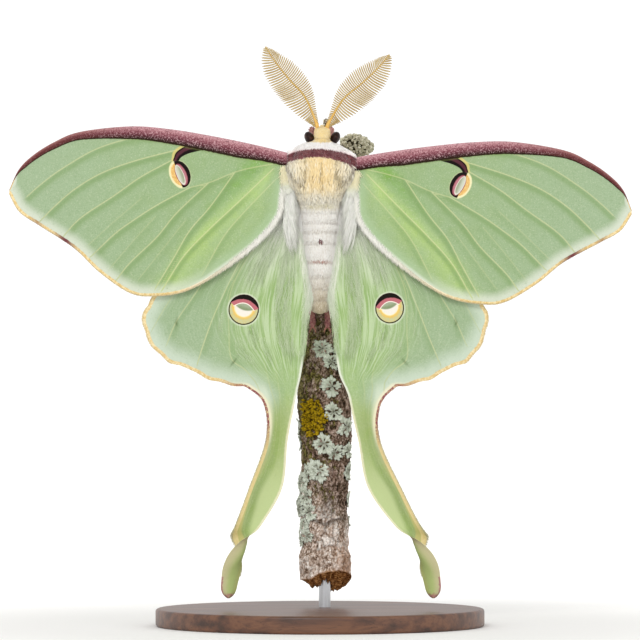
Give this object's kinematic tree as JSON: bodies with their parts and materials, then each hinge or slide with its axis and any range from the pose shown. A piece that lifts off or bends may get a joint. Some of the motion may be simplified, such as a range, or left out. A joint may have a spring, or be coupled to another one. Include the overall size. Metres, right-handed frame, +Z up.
{
  "type": "luna moth",
  "caption": "Life-size luna moth with open pale green wings, long twisted tails and feathery antennae, clinging head up to a lichened twig on a small round stand.",
  "frame": {"origin": "centre of the display base's flat underside", "axes": "+Z up along the twig and the moth's body towards its head, -Y out of the moth's back, -X towards its left wings"},
  "size_m": [0.1054, 0.056, 0.0987],
  "materials": {
    "wing_green": "pale green wing scales, matt, with a yellow-tan margin",
    "costa_maroon": "thick maroon-pink scales along the leading edge",
    "fur_cream": "long cream-yellow hair scales",
    "fur_white": "short woolly white hair scales",
    "eye_dark": "dark brown glossy compound eye",
    "antenna_tan": "tan feathery barbs on a golden shaft",
    "leg_rose": "rose-maroon scales on slender legs",
    "bark": "rough brown-grey bark with lichens",
    "lichen_grey": "matt grey-green leafy lichen",
    "base_walnut": "satin dark walnut",
    "rod_steel": "brushed steel"
  },
  "bodies": {
    "root": {"costa_left": "costa_maroon", "forewing_left": "wing_green", "hindwing_left": "wing_green", "tail_left": "wing_green", "costa_right": "costa_maroon", "forewing_right": "wing_green", "hindwing_right": "wing_green", "tail_right": "wing_green", "collar": "fur_white", "thorax": "fur_cream", "abdomen": "fur_white", "head": "fur_cream", "tegula_left": "fur_cream", "eye_left": "eye_dark", "tegula_right": "fur_cream", "eye_right": "eye_dark", "antenna_left": "antenna_tan", "antenna_right": "antenna_tan", "leg_fore_left": "leg_rose", "leg_fore_right": "leg_rose", "leg_mid_left": "leg_rose", "leg_mid_right": "leg_rose", "leg_hind_left": "leg_rose", "leg_hind_right": "leg_rose", "perch_twig": "bark", "perch_lichen": "lichen_grey", "stand_rod": "rod_steel", "stand_base": "base_walnut"}
  },
  "joints": []
}
